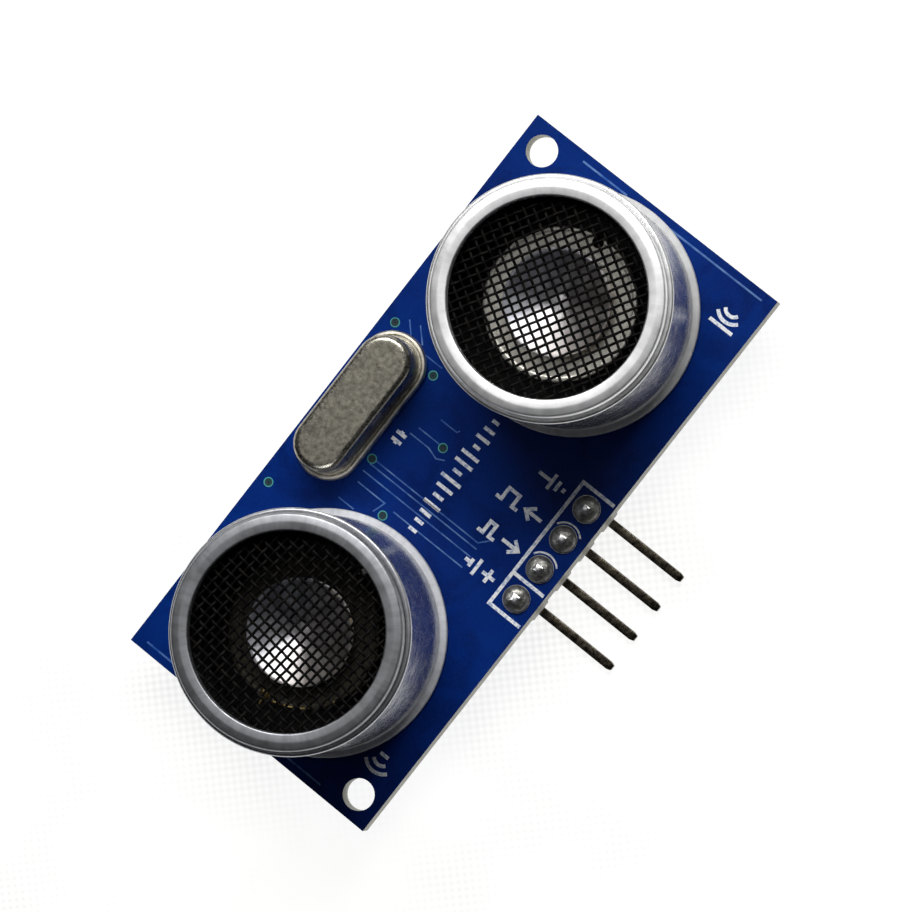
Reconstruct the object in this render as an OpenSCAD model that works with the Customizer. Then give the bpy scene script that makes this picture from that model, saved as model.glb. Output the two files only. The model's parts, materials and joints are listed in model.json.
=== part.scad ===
// Ultrasonic distance sensor: two 16 mm transducers, a crystal and a four-pin header on one board.
// The frame's origin is the centre of the board's back face. +X runs along the board towards the
// receiver, +Y away from the header, and +Z out of the front, the way the transducers face.

/* [Board] */
// Length of the board along X
board_l = 45; // [44:0.5:50]
// Width of the board along Y
board_w = 20.6; // [20:0.1:22]
// Thickness of the board
board_t = 1.6; // [1.2:0.2:1.6]
// Distance of each mounting hole's centre from the two nearest edges
hole_inset = 1.75; // [1.6:0.05:2]
// Radius of the mounting holes
hole_r = 1.1; // [1:0.05:1.2]

/* [Transducers] */
// Distance between the two transducers' axes
transducer_pitch = 27.4; // [26:0.1:27.8]
// Height of a can above the board
can_h = 12; // [11.5:0.1:13]
// Radius of the can's straight wall
can_r = 7.9; // [7.7:0.05:7.9]
// Radius of the can's shoulder, just below the groove under its lip
shoulder_r = 8.1; // [8:0.05:8.2]
// Radius of the rolled lip round the can's mouth
lip_r = 7.75; // [7.7:0.05:7.85]
// Radius of the mouth inside the lip
mouth_r = 6.55; // [6.3:0.05:6.7]
// Radius of the rim at the can's foot
foot_r = 8.4; // [8.2:0.05:8.5]
// Thickness of the can's sheet
can_wall = 0.4; // [0.3:0.05:0.5]
// Radius of the vibrating plate
plate_r = 5.15; // [5:0.05:5.6]
// Height of the plate's front face above the board
plate_z = 6.7; // [6.4:0.1:7.4]
// Radius of the cone at its rim
cone_r = 3.5; // [3.2:0.1:4]
// Height of the cone's rim above the plate
cone_h = 1.2; // [1:0.1:1.8]
// Distance between a transducer's two leads
lead_pitch = 10; // [9:0.5:10.5]

/* [Crystal] */
// Distance of the crystal's middle from the board's centre along X
crystal_x = -0.2; // [-1:0.1:1]
// Distance of the crystal's middle from the board's centre along Y
crystal_y = 7.6; // [7:0.1:7.6]
// Length of the crystal's can
crystal_l = 10.6; // [9.8:0.1:10.6]
// Width of the crystal's can
crystal_w = 3.8; // [3.6:0.1:4]
// Height of the crystal above the board
crystal_h = 3.5; // [3.2:0.1:4]
// Distance between the crystal's leads
crystal_pitch = 4.88; // [4.8:0.04:5]

/* [Header] */
// Distance between neighbouring pins
pin_pitch = 2.54; // [2.54]
// Width of a square pin
pin_w = 0.6; // [0.6:0.02:0.66]
// Distance of the pins' row from the board's centre along Y
pin_row_y = -8.8; // [-8.8:0.05:-8.4]
// Depth of the pins' horizontal centre line below the board's back
pin_drop = 3.05; // [3:0.05:3.4]
// How far the pins' tips stand out past the board's edge
pin_reach = 5.9; // [5:0.1:7]
// Height of the moulded strip
strip_h = 2.54; // [2.5:0.02:2.6]

/* [Hidden] */
$fn = 48;

// How far a cutting solid runs past what it cuts
past = 1;

// Pads, plated holes and solder
copper_t = 0.05;
solder_pad_r = 0.95;
lead_r = 0.35;
lead_hole_r = 0.5;
lead_out = 1.1;
back_fillet_h = 0.75;
via_hole_r = 0.2;
via_bore_r = 0.14;
via_pad_r = 0.35;
via_xy = [[1.0, 1.43], [-2.56, 4.8], [-5.1, 1.85], [5.6, 9.3], [4.4, 5.0], [-8.2, 9.45]];

// Transducer cans, with heights above the board's front
transmitter_x = -transducer_pitch / 2;
receiver_x = transducer_pitch / 2;
transducer_lead_xy = [
    for (x = [transmitter_x, receiver_x], s = [-1, 1]) [x + s * lead_pitch / 2, 0]
];
can_inner_r = can_r - can_wall;
foot_t = 0.5;
foot_round = 0.15;
lip_round = 0.3;
lip_bottom = can_h - 1;
mouth_round = 0.2;
shoulder_round = 0.2;
shoulder_z = lip_bottom - shoulder_round;
flare_z = lip_bottom - 1;
screen_t = 0.3;
screen_z = lip_bottom;
screen_r = can_inner_r - 0.05;

// What each can holds
cone_sheet = 0.15;
cone_flat_r = 0.7;
cone_hem = 0.12;
plate_t = 0.25;
piezo_r = 4.4;
piezo_t = 0.4;
piezo_z = plate_z - plate_t - piezo_t;
base_t = 2;
base_r = can_inner_r;
pedestal_r = 4;
pedestal_z = 3;
damper_r = 3.4;
damper_wall = 0.9;
lead_top = base_t + 0.9;
wire_r = 0.1;
joint_r = 0.4;

// Crystal
crystal_lead_r = 0.22;
crystal_hole_r = 0.4;
crystal_pad_r = 0.75;
crystal_lead_xy = [for (s = [-1, 1]) [crystal_x + s * crystal_pitch / 2, crystal_y]];
crystal_flange = 0.5;
crystal_flange_t = 0.6;
crystal_wall = 0.25;
crystal_round = 0.7;
crystal_lead_top = crystal_flange_t + 0.5;
bead_hole_r = 0.6;
blank_size = [7.6, 1.8, 0.35];
blank_z = crystal_lead_top + 0.55;
clip_t = 0.12;
clip_w = 1.2;
clip_inner_x = crystal_pitch / 2 - 0.3;
clip_outer_x = crystal_pitch / 2 + 1.4;

// Header
pin_xy = [for (i = [0:3]) [(i - 1.5) * pin_pitch, pin_row_y]];
pin_hole_r = 0.5;
pin_top = 0.8;
pin_bend_r = 0.55;
pin_tip_y = -board_w / 2 - pin_reach;
pin_point_l = 0.25;
pin_point_w = pin_w - 0.2;
strip_corner = 0.5;
joint_dome_r = 0.93;
joint_dome_h = 0.62;

// Surface-mount parts on the back: [x, y, turn in degrees]
resistor_size = [1.6, 0.8, 0.45];
resistor_at = [
    [-9.2, 6.6, 0], [-9.2, 8.2, 0], [-5.8, 4.6, 90], [-7.2, 4.6, 90], [6.1, 5.0, 90], [7.5, 5.0, 90],
    [9.9, 7.8, 0], [12.3, 8.4, 0], [15.6, 8.4, 0], [-6.6, -6.0, 90], [-8.1, -6.0, 90],
    [-16.6, -7.4, 0], [-19.5, 4.2, 90], [20.2, -3.6, 90], [20.9, 0.6, 90], [16.4, -8.2, 0]
];
capacitor_size = [1.6, 0.8, 0.8];
capacitor_at = [
    [-16.2, 7.4, 0], [-19.2, 7.4, 0], [-21, 0.4, 90], [-19.5, -3.4, 90], [-11.6, -8.3, 0],
    [7.6, -6.4, 90], [9.4, -7.8, 0], [20.2, 4.4, 90], [-6.3, 0.2, 90], [6.5, 0.6, 90]
];
controller_at = [0.2, 0.4, 0];
driver_at = [transmitter_x, 0, 90];
amplifier_at = [receiver_x, 0, 90];
transistor_at = [11.9, -7.4, 0];
end_cap_l = 0.35;
end_cap_skin = 0.03;

// Chips, with heights above the board's back
chip14_l = 8.65;
chip16_l = 9.9;
chip_w = 3.9;
chip_h = 1.45;
chip_lift = 0.1;
chip_pitch = 1.27;
chip_span = 6;
chip_belt_z = 0.45;
chip_belt_t = 0.25;
chip_draft_low = 0.12;
chip_draft_top = 0.35;
chip_mark_r = 0.35;
chip_mark_depth = 0.08;
chip_shoulder_z = 0.47;
leg_w = 0.42;
leg_t = 0.2;
transistor_l = 2.9;
transistor_w = 1.3;
transistor_h = 1;
transistor_leg_x = 0.95;
transistor_leg_out = 1.2;

// Colours that several nodes share
solder_grey = [0.7, 0.71, 0.72];
tin_grey = [0.78, 0.78, 0.77];
copper_pale = [0.75, 0.72, 0.6];
chip_black = [0.07, 0.07, 0.075];

// Shared shapes

// Bar with round ends along X, standing on z = 0
module stadium(l, w, h) {
    linear_extrude(h) {
        square([l - w, w], center = true);
        for (s = [-1, 1]) translate([s * (l - w) / 2, 0]) circle(d = w);
    }
}

// Half of an upright section with its top corner rounded, r wide from the middle
module round_top_half(r, h, corner) {
    square([r - corner, h]);
    square([r, h - corner]);
    translate([r - corner, h - corner]) circle(corner);
}

// Bar with round ends along X whose top edge is rounded all the way round
module round_top_stadium(l, w, h, corner) {
    for (s = [-1, 1]) translate([s * (l - w) / 2, 0, 0])
        rotate_extrude() intersection() {
            round_top_half(w / 2, h, corner);
            square([w, h]);
        }
    rotate([90, 0, 90]) translate([0, 0, -(l - w) / 2])
        linear_extrude(l - w) for (m = [0, 1]) mirror([m, 0])
            round_top_half(w / 2, h, corner);
}

// Straight round wire from a to b
module wire(a, b, r) {
    d = b - a;
    flat = norm([d[0], d[1]]);
    translate(a) rotate([0, atan2(flat, d[2]), atan2(d[1], d[0])])
        cylinder(r = r, h = norm(d));
}

// Cylinder that cuts a hole through a plate standing on z = 0
module hole(r, plate_h) {
    translate([0, 0, -past]) cylinder(r = r, h = plate_h + 2 * past);
}

// Solder fillet rising from a pad at z = 0 up a lead of radius inner_r
module fillet(pad_r, inner_r, h) {
    foot = 0.12;
    rotate_extrude() difference() {
        square([pad_r, h]);
        translate([pad_r + foot, h + foot]) scale([(pad_r - inner_r) / h, 1]) circle(h);
        square([inner_r, h * 3], center = true);
    }
}

// Fillet on the back pad of a lead, with the solder that fills the lead's hole
module back_joint(pad_r, hole_r, wire_radius) {
    translate([0, 0, -copper_t]) mirror([0, 0, 1])
        fillet(pad_r - 0.05, wire_radius, back_fillet_h);
    translate([0, 0, -copper_t]) difference() {
        cylinder(r = hole_r, h = board_t + copper_t);
        hole(wire_radius, board_t + copper_t);
    }
}

// Board

module circuit_board() {
    color([0.03, 0.16, 0.5]) difference() {
        translate([-board_l / 2, -board_w / 2, 0]) cube([board_l, board_w, board_t]);
        for (s = [-1, 1])
            translate([s * (board_l / 2 - hole_inset), s * (board_w / 2 - hole_inset), 0])
                hole(hole_r, board_t);
        for (p = pin_xy) translate(p) hole(pin_hole_r, board_t);
        for (p = transducer_lead_xy) translate(p) hole(lead_hole_r, board_t);
        for (p = crystal_lead_xy) translate(p) hole(crystal_hole_r, board_t);
        for (p = via_xy) translate(p) hole(via_hole_r, board_t);
    }
}

// Flat copper ring on a face of the board
module pad_ring(p, outer_r, inner_r) {
    translate([p[0], p[1], 0]) difference() {
        cylinder(r = outer_r, h = copper_t);
        hole(inner_r, copper_t);
    }
}

module header_pads() {
    color(copper_pale) translate([0, 0, board_t])
        for (p = pin_xy) pad_ring(p, solder_pad_r, pin_hole_r);
}

module back_pads() {
    color(copper_pale) translate([0, 0, -copper_t]) {
        for (p = transducer_lead_xy) pad_ring(p, solder_pad_r, lead_hole_r);
        for (p = crystal_lead_xy) pad_ring(p, crystal_pad_r, crystal_hole_r);
    }
}

// Plated barrels through the board, each with a ring on both faces
module vias() {
    color([0.2, 0.55, 0.55]) for (p = via_xy) translate([p[0], p[1], 0]) difference() {
        union() {
            translate([0, 0, -copper_t]) cylinder(r = via_pad_r, h = copper_t);
            cylinder(r = via_hole_r, h = board_t);
            translate([0, 0, board_t]) cylinder(r = via_pad_r, h = copper_t);
        }
        hole(via_bore_r, board_t);
    }
}

// Transducers, each modelled on its own axis with z = 0 at the board's front

module on_board(x) {
    translate([x, 0, board_t]) children();
}

// Inner parts turned so that the soldered wire is at the end nearest the board's short side
module in_can(x) {
    on_board(x) rotate(x > 0 ? -90 : 90) children();
}

// Rim with a rounded edge that stands on the board
module foot_section() {
    translate([can_inner_r, 0]) square([foot_r - foot_round - can_inner_r, foot_t]);
    translate([foot_r - 2 * foot_round, foot_round])
        square([2 * foot_round, foot_t - 2 * foot_round]);
    for (z = [foot_round, foot_t - foot_round])
        translate([foot_r - foot_round, z]) circle(foot_round);
}

// Wall that flares a little to its rounded shoulder
module wall_section() {
    polygon([
        [can_inner_r, foot_t], [can_r, foot_t], [can_r, flare_z],
        [shoulder_r, shoulder_z], [can_inner_r, shoulder_z]
    ]);
    translate([can_inner_r, shoulder_z])
        square([shoulder_r - shoulder_round - can_inner_r, shoulder_round]);
    translate([shoulder_r - shoulder_round, shoulder_z]) circle(shoulder_round);
}

// Lip that stands up inside the shoulder and is folded inwards to the mouth
module lip_section() {
    fold_z = screen_z + screen_t;
    translate([can_inner_r, lip_bottom])
        square([lip_r - can_inner_r, can_h - lip_round - lip_bottom]);
    translate([lip_r - lip_round, can_h - lip_round]) circle(lip_round);
    translate([mouth_r, fold_z])
        square([lip_r - lip_round - mouth_r, can_h - mouth_round - fold_z]);
    translate([mouth_r + mouth_round, can_h - 2 * mouth_round])
        square([lip_r - lip_round - mouth_r - mouth_round, 2 * mouth_round]);
    translate([mouth_r + mouth_round, can_h - mouth_round]) circle(mouth_round);
}

module transducer_can() {
    color([0.78, 0.79, 0.8]) rotate_extrude($fn = 96) difference() {
        union() {
            foot_section();
            wall_section();
            lip_section();
        }
        // seat that the screen is clamped in, and the room below it
        translate([0, screen_z]) square([screen_r, screen_t]);
        translate([0, -past]) square([can_inner_r, screen_z + past]);
    }
}

module transducer_screen() {
    color([0.12, 0.12, 0.13]) translate([0, 0, screen_z]) cylinder(r = screen_r, h = screen_t);
}

// Shallow cone whose rim is hemmed outwards
module transducer_cone() {
    hem_drop = 0.04;
    color([0.85, 0.85, 0.84]) translate([0, 0, plate_z]) rotate_extrude() polygon([
        [0, 0], [cone_flat_r, 0], [cone_r, cone_h - cone_sheet],
        [cone_r + cone_hem, cone_h - hem_drop], [cone_r + hem_drop, cone_h],
        [cone_flat_r - 0.05, cone_sheet], [0, cone_sheet]
    ]);
}

module transducer_plate(tint) {
    color(tint) translate([0, 0, plate_z - plate_t]) cylinder(r = plate_r, h = plate_t);
}

module transducer_piezo() {
    color([0.78, 0.7, 0.5]) translate([0, 0, piezo_z]) cylinder(r = piezo_r, h = piezo_t);
}

// Soft ring that carries the ceramic and the plate
module transducer_damper() {
    color([0.75, 0.75, 0.72]) translate([0, 0, pedestal_z]) difference() {
        cylinder(r = damper_r, h = piezo_z - pedestal_z);
        hole(damper_r - damper_wall, piezo_z - pedestal_z);
    }
}

module transducer_base() {
    color([0.06, 0.06, 0.065]) difference() {
        union() {
            cylinder(r = base_r, h = base_t);
            cylinder(r = pedestal_r, h = pedestal_z);
        }
        for (s = [-1, 1]) translate([0, s * lead_pitch / 2, 0]) hole(lead_r, base_t);
    }
}

module transducer_leads() {
    color(tin_grey) for (s = [-1, 1])
        translate([0, s * lead_pitch / 2, -board_t - lead_out])
            cylinder(r = lead_r, h = board_t + lead_out + lead_top);
}

// Half ball of solder on the face at z = 0, above it or below it
module half_ball(up) {
    intersection() {
        sphere(joint_r, $fn = 32);
        translate([-joint_r, -joint_r, up ? 0 : -joint_r]) cube(2 * joint_r);
        translate([-joint_r, -joint_r, -joint_r]) cube(2 * joint_r);
    }
}

// One wire reaches the ceramic from below, and the other is soldered to the plate's front
module transducer_wires() {
    rest = 0.12;
    near_lead = [0, lead_pitch / 2, lead_top];
    far_lead = [0, -lead_pitch / 2, lead_top];
    plate_joint = [-0.5, plate_r - 0.45, plate_z];
    over_edge = [-0.6, plate_r + 0.35, plate_z + 0.1];
    ceramic_joint = [0, -piezo_r + 0.5, piezo_z];
    color([0.75, 0.4, 0.2]) {
        wire(near_lead, over_edge, wire_r);
        translate(over_edge) sphere(wire_r, $fn = 24);
        wire(over_edge, plate_joint + [0, 0, rest], wire_r);
        wire(far_lead, ceramic_joint - [0, 0, rest], wire_r);
        translate(plate_joint) half_ball(true);
        translate(ceramic_joint) half_ball(false);
    }
}

module transducer_solder() {
    color(solder_grey) for (s = [-1, 1]) translate([0, s * lead_pitch / 2, -board_t])
        back_joint(solder_pad_r, lead_hole_r, lead_r);
}

module transmitter_can() { on_board(transmitter_x) transducer_can(); }
module transmitter_screen() { on_board(transmitter_x) transducer_screen(); }
module transmitter_cone() { on_board(transmitter_x) transducer_cone(); }
module transmitter_plate() { on_board(transmitter_x) transducer_plate([0.5, 0.42, 0.22]); }
module transmitter_piezo() { on_board(transmitter_x) transducer_piezo(); }
module transmitter_damper() { on_board(transmitter_x) transducer_damper(); }
module transmitter_base() { in_can(transmitter_x) transducer_base(); }
module transmitter_leads() { in_can(transmitter_x) transducer_leads(); }
module transmitter_wires() { in_can(transmitter_x) transducer_wires(); }
module transmitter_solder() { in_can(transmitter_x) transducer_solder(); }

module receiver_can() { on_board(receiver_x) transducer_can(); }
module receiver_screen() { on_board(receiver_x) transducer_screen(); }
module receiver_cone() { on_board(receiver_x) transducer_cone(); }
module receiver_plate() { on_board(receiver_x) transducer_plate([0.66, 0.65, 0.58]); }
module receiver_piezo() { on_board(receiver_x) transducer_piezo(); }
module receiver_damper() { on_board(receiver_x) transducer_damper(); }
module receiver_base() { in_can(receiver_x) transducer_base(); }
module receiver_leads() { in_can(receiver_x) transducer_leads(); }
module receiver_wires() { in_can(receiver_x) transducer_wires(); }
module receiver_solder() { in_can(receiver_x) transducer_solder(); }

// Crystal, modelled on its own axis with z = 0 at the board's front

module on_crystal() {
    translate([crystal_x, crystal_y, board_t]) children();
}

module at_crystal_leads() {
    for (s = [-1, 1]) translate([s * crystal_pitch / 2, 0, 0]) children();
}

module crystal_base() {
    flange_l = crystal_l + 2 * crystal_flange;
    flange_w = crystal_w + 2 * crystal_flange - 0.1;
    color([0.7, 0.68, 0.6]) on_crystal() difference() {
        stadium(flange_l, flange_w, crystal_flange_t);
        at_crystal_leads() hole(bead_hole_r, crystal_flange_t);
    }
}

module crystal_beads() {
    color([0.55, 0.6, 0.55]) on_crystal() at_crystal_leads() difference() {
        cylinder(r = bead_hole_r, h = crystal_flange_t);
        hole(crystal_lead_r, crystal_flange_t);
    }
}

module crystal_can() {
    inner_l = crystal_l - 2 * crystal_wall;
    inner_w = crystal_w - 2 * crystal_wall;
    rise = crystal_h - crystal_flange_t;
    color([0.72, 0.69, 0.62]) on_crystal() translate([0, 0, crystal_flange_t]) difference() {
        round_top_stadium(crystal_l, crystal_w, rise, crystal_round);
        translate([0, 0, -past]) stadium(inner_l, inner_w, rise - crystal_wall + past);
    }
}

module crystal_leads() {
    color(tin_grey) on_crystal() at_crystal_leads() translate([0, 0, -board_t - lead_out])
        cylinder(r = crystal_lead_r, h = board_t + lead_out + crystal_lead_top);
}

// Spring strip welded on each lead, with a lip that holds the end of the blank
module crystal_clips() {
    color([0.8, 0.78, 0.7]) on_crystal() for (m = [0, 1]) mirror([m, 0, 0]) {
        translate([clip_inner_x, -clip_w / 2, crystal_lead_top])
            cube([clip_outer_x - clip_inner_x, clip_w, clip_t]);
        translate([clip_outer_x, -clip_w / 2, crystal_lead_top])
            cube([clip_t, clip_w, blank_z + blank_size[2] - crystal_lead_top]);
    }
}

module crystal_blank() {
    color([0.8, 0.85, 0.88]) on_crystal()
        translate([-blank_size[0] / 2, -blank_size[1] / 2, blank_z]) cube(blank_size);
}

module crystal_solder() {
    color(solder_grey) for (p = crystal_lead_xy) translate(p)
        back_joint(crystal_pad_r, crystal_hole_r, crystal_lead_r);
}

// Header

// Outline of one segment of the moulded strip, with its corners cut off
module strip_segment_outline() {
    half = pin_pitch / 2;
    flat = half - strip_corner;
    polygon([
        [-half, -flat], [-flat, -half], [flat, -half], [half, -flat],
        [half, flat], [flat, half], [-flat, half], [-half, flat]
    ]);
}

module header_strip() {
    color([0.86, 0.85, 0.8]) translate([0, 0, -strip_h]) difference() {
        linear_extrude(strip_h) for (p = pin_xy) translate(p) strip_segment_outline();
        for (p = pin_xy) translate([p[0], p[1], strip_h / 2])
            cube([pin_w, pin_w, strip_h + 2 * past], center = true);
    }
}

// Square pin: upright through the board and the strip, then bent outwards along -Y
module header_pin(i) {
    half = pin_w / 2;
    bend_outer_r = pin_bend_r + pin_w;
    bend_y = pin_row_y - half - pin_bend_r;
    bend_z = -pin_drop + half + pin_bend_r;
    shank_tip_y = pin_tip_y + pin_point_l;
    color([0.3, 0.25, 0.17]) translate([pin_xy[i][0], 0, 0]) {
        translate([-half, pin_row_y - half, bend_z])
            cube([pin_w, pin_w, board_t + pin_top - bend_z]);
        translate([-half, bend_y, bend_z]) rotate([90, 0, 90]) linear_extrude(pin_w)
            intersection() {
                difference() {
                    circle(bend_outer_r);
                    circle(pin_bend_r);
                }
                translate([0, -bend_outer_r]) square(bend_outer_r);
            }
        translate([-half, shank_tip_y, -pin_drop - half]) cube([pin_w, bend_y - shank_tip_y, pin_w]);
        translate([0, shank_tip_y - pin_point_l / 2, -pin_drop])
            cube([pin_point_w, pin_point_l, pin_point_w], center = true);
    }
}

module power_pin() { header_pin(0); }
module trigger_pin() { header_pin(1); }
module echo_pin() { header_pin(2); }
module ground_pin() { header_pin(3); }

// Domed joint on the front round each pin, and the solder that fills its hole
module header_solder() {
    ball_r = (joint_dome_r * joint_dome_r + joint_dome_h * joint_dome_h) / (2 * joint_dome_h);
    pad_z = board_t + copper_t;
    color(solder_grey) for (p = pin_xy) translate(p) difference() {
        union() {
            translate([0, 0, pad_z]) intersection() {
                translate([0, 0, joint_dome_h - ball_r]) sphere(ball_r, $fn = 64);
                cylinder(r = joint_dome_r, h = joint_dome_h);
            }
            cylinder(r = pin_hole_r, h = pad_z);
        }
        cube([pin_w, pin_w, 2 * (pad_z + past)], center = true);
    }
}

// Surface-mount parts, modelled with z = 0 on the board's back and their height along -Z

module on_back(at) {
    translate([at[0], at[1], 0]) rotate(at[2]) mirror([0, 0, 1]) children();
}

// Moulded body along X with drafted long sides, widest at its belt
module moulded_body(l, w, h, belt_z, belt_t, draft_low, draft_top) {
    rotate([90, 0, 90]) translate([0, 0, -l / 2]) linear_extrude(l) polygon([
        [-w / 2 + draft_low, chip_lift], [w / 2 - draft_low, chip_lift], [w / 2, belt_z],
        [w / 2, belt_z + belt_t], [w / 2 - draft_top, h], [-w / 2 + draft_top, h],
        [-w / 2, belt_z + belt_t], [-w / 2, belt_z]
    ]);
}

// Chip body with a round mark by its first leg
module chip_body(l) {
    difference() {
        moulded_body(l, chip_w, chip_h, chip_belt_z, chip_belt_t, chip_draft_low, chip_draft_top);
        translate([-l / 2 + 0.9, -chip_w / 2 + 1, chip_h - chip_mark_depth])
            cylinder(r = chip_mark_r, h = past);
    }
}

// Gull-wing leg that leaves a body side at y = from_y and ends at y = to_y
module gull_leg(from_y, to_y, shoulder_z) {
    run = to_y - from_y;
    top_z = shoulder_z + leg_t;
    rotate([90, 0, 90]) translate([0, 0, -leg_w / 2]) linear_extrude(leg_w) polygon([
        [from_y, shoulder_z], [from_y + run * 0.3, shoulder_z],
        [from_y + run * 0.45, 0], [to_y, 0], [to_y, leg_t], [from_y + run * 0.6, leg_t],
        [from_y + run * 0.48, top_z], [from_y, top_z]
    ]);
}

module chip_legs(count) {
    side = count / 2;
    for (i = [0:side - 1], turn = [0, 180]) rotate(turn)
        translate([(i - (side - 1) / 2) * chip_pitch, 0, 0])
            gull_leg(chip_w / 2, chip_span / 2, chip_shoulder_z);
}

module controller_chip() { color(chip_black) on_back(controller_at) chip_body(chip14_l); }
module controller_legs() { color(tin_grey) on_back(controller_at) chip_legs(14); }
module driver_chip() { color(chip_black) on_back(driver_at) chip_body(chip16_l); }
module driver_legs() { color(tin_grey) on_back(driver_at) chip_legs(16); }
module amplifier_chip() { color(chip_black) on_back(amplifier_at) chip_body(chip14_l); }
module amplifier_legs() { color(tin_grey) on_back(amplifier_at) chip_legs(14); }

module transistor_body() {
    color(chip_black) on_back(transistor_at)
        moulded_body(transistor_l, transistor_w, transistor_h, chip_belt_z, 0.1, 0.05, 0.15);
}

module transistor_legs() {
    from_y = transistor_w / 2 - 0.03;
    shoulder_z = 0.3;
    color(tin_grey) on_back(transistor_at) {
        for (x = [-transistor_leg_x, transistor_leg_x]) translate([x, 0, 0])
            gull_leg(from_y, transistor_leg_out, shoulder_z);
        rotate(180) gull_leg(from_y, transistor_leg_out, shoulder_z);
    }
}

// Ceramic block between its two metal ends
module two_end_body(size) {
    translate([0, 0, size[2] / 2])
        cube([size[0] - 2 * end_cap_l, size[1], size[2] - 2 * end_cap_skin], center = true);
}

module two_end_caps(size) {
    for (s = [-1, 1]) translate([s * (size[0] - end_cap_l) / 2, 0, size[2] / 2])
        cube([end_cap_l, size[1] + 2 * end_cap_skin, size[2]], center = true);
}

module resistor_bodies() {
    color([0.1, 0.1, 0.11]) for (at = resistor_at) on_back(at) two_end_body(resistor_size);
}

module resistor_caps() {
    color(tin_grey) for (at = resistor_at) on_back(at) two_end_caps(resistor_size);
}

module capacitor_bodies() {
    color([0.62, 0.5, 0.36]) for (at = capacitor_at) on_back(at) two_end_body(capacitor_size);
}

module capacitor_caps() {
    color(tin_grey) for (at = capacitor_at) on_back(at) two_end_caps(capacitor_size);
}

circuit_board();
header_pads();
back_pads();
vias();
transmitter_can();
transmitter_screen();
transmitter_cone();
transmitter_plate();
transmitter_piezo();
transmitter_damper();
transmitter_base();
transmitter_leads();
transmitter_wires();
transmitter_solder();
receiver_can();
receiver_screen();
receiver_cone();
receiver_plate();
receiver_piezo();
receiver_damper();
receiver_base();
receiver_leads();
receiver_wires();
receiver_solder();
crystal_can();
crystal_base();
crystal_beads();
crystal_leads();
crystal_clips();
crystal_blank();
crystal_solder();
header_strip();
power_pin();
trigger_pin();
echo_pin();
ground_pin();
header_solder();
controller_chip();
controller_legs();
driver_chip();
driver_legs();
amplifier_chip();
amplifier_legs();
transistor_body();
transistor_legs();
resistor_bodies();
resistor_caps();
capacitor_bodies();
capacitor_caps();
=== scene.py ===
"""Ultrasonic distance sensor: the looks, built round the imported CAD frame.

Measures in this script are millimetres in the frame's own axes, and make_piece() turns them into
metres. The frame's origin is the centre of the board's back face; +Z is the way the sensor looks.
"""

import json
import math

import bmesh
import bpy
from mathutils import Matrix, Vector, noise


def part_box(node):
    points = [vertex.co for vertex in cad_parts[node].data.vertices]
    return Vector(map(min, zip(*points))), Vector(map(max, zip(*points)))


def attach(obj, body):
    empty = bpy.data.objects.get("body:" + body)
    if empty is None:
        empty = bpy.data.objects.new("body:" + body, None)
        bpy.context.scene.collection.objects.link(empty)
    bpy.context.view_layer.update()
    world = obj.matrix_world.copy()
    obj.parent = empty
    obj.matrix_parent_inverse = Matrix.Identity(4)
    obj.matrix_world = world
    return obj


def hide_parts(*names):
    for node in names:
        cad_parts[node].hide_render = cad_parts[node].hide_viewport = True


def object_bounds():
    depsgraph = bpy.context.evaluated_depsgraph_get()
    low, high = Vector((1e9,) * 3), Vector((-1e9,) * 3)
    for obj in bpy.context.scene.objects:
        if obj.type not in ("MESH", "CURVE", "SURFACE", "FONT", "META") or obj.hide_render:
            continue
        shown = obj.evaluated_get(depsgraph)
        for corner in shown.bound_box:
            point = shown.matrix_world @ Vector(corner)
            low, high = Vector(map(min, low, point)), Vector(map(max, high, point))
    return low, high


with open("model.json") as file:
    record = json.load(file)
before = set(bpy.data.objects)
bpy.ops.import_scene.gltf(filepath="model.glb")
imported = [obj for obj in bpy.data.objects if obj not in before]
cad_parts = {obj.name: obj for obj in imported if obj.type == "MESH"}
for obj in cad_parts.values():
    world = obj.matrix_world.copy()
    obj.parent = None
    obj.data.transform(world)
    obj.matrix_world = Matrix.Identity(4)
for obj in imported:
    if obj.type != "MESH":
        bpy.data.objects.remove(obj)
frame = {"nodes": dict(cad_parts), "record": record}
cad_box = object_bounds()

MM = 0.001
SIDES = ("transmitter", "receiver")


def node_box(node):
    """Lowest and highest corner of a CAD node, in millimetres."""
    low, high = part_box(node)
    return low / MM, high / MM


BOARD_LOW, BOARD_HIGH = node_box("circuit_board")
BOARD_TOP = BOARD_HIGH.z
FLOOR_GAP = 0.02
FLOOR_Z = cad_box[0].z / MM - FLOOR_GAP
CAN_LOW, CAN_HIGH = node_box("receiver_can")
AXIS_X = (CAN_LOW.x + CAN_HIGH.x) / 2
LIP_FROM, LIP_FULL = CAN_HIGH.z - 1.2, CAN_HIGH.z - 0.95
FOOT_FULL, FOOT_TO = CAN_LOW.z + 1.0, CAN_LOW.z + 1.7

# ---------------------------------------------------------------- camera

CAMERA_AT = (24.04, -49.41, 284.32)
CAMERA_RIGHT = (0.6129, -0.7682, -0.1850)
CAMERA_DOWN = (-0.7861, -0.6164, -0.0449)
CAMERA_LENS = 169.5


def make_camera():
    """Long lens high above, a little past the header, rolled so that the board lies aslant."""
    right = Vector(CAMERA_RIGHT).normalized()
    down = Vector(CAMERA_DOWN)
    down = (down - right * down.dot(right)).normalized()
    back = right.cross(-down)
    turn = Matrix((right, -down, back)).transposed().to_4x4()
    data = bpy.data.cameras.new("camera")
    data.lens = CAMERA_LENS
    data.clip_start = 0.01
    camera = bpy.data.objects.new("camera", data)
    camera.matrix_world = Matrix.Translation(Vector(CAMERA_AT) * MM) @ turn
    bpy.context.scene.collection.objects.link(camera)
    bpy.context.scene.camera = camera


# ---------------------------------------------------------------- materials

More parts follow.
